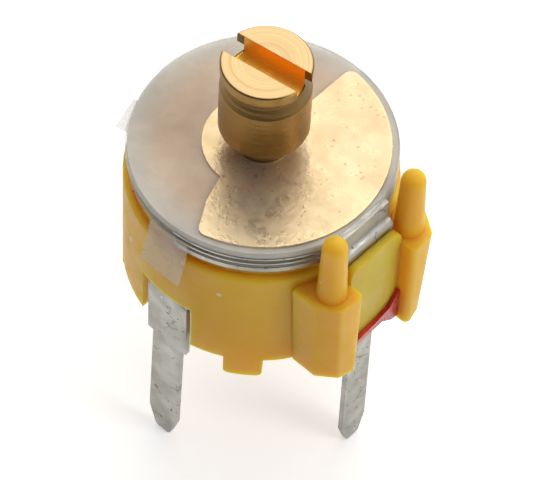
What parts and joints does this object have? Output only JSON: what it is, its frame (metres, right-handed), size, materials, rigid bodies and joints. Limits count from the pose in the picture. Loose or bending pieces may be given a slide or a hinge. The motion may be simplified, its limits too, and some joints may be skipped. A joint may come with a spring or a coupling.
{
  "type": "trimmer capacitor",
  "caption": "Miniature film-dielectric trimmer capacitor: slotted spindle turns half-disc vanes between stator plates in a round moulded housing with board terminals.",
  "frame": {"origin": "on the spindle's axis, in the plane of the board that the stand-off feet rest on", "axes": "+Z along the spindle towards its screwdriver slot, +X towards the stator terminal, so the rotor's two terminals lie along -Y and +Y"},
  "size_m": [0.0103, 0.0096, 0.0168],
  "materials": {
    "housing_plastic": "translucent moulded, satin",
    "turned_brass": "turned, bright",
    "rolled_brass": "rolled, matt, specked",
    "spring_bronze": "rolled, satin",
    "tinned_strip": "dull tin plate",
    "clear_film": "milky translucent film",
    "red_lacquer": "glossy brushed lacquer"
  },
  "bodies": {
    "housing": {"housing": "housing_plastic", "rotor_terminal": "tinned_strip", "stator_terminal": "tinned_strip", "stator_plate_1": "tinned_strip", "stator_plate_2": "tinned_strip", "stator_plate_3": "tinned_strip", "stator_spacer_1": "tinned_strip", "stator_spacer_2": "tinned_strip", "stator_spacer_3": "tinned_strip", "cover_film": "clear_film", "dielectric_film_1": "clear_film", "dielectric_film_2": "clear_film", "dielectric_film_3": "clear_film", "dielectric_film_4": "clear_film", "dielectric_film_5": "clear_film", "dielectric_film_6": "clear_film", "dielectric_film_7": "clear_film", "sealing_lacquer": "red_lacquer"},
    "rotor": {"spindle": "turned_brass", "rotor_vane_1": "rolled_brass", "rotor_vane_2": "rolled_brass", "rotor_vane_3": "rolled_brass", "rotor_vane_4": "rolled_brass", "rotor_spacer_1": "rolled_brass", "rotor_spacer_2": "rolled_brass", "rotor_spacer_3": "rolled_brass", "thrust_washer": "rolled_brass", "retaining_washer": "rolled_brass", "spring_washer": "spring_bronze"}
  },
  "joints": [
    {"name": "rotor_turn", "type": "hinge", "parent": "housing", "child": "rotor", "pos_m": [0, 0, 0.0059], "axis": [0, 0, 1], "continuous": true}
  ]
}
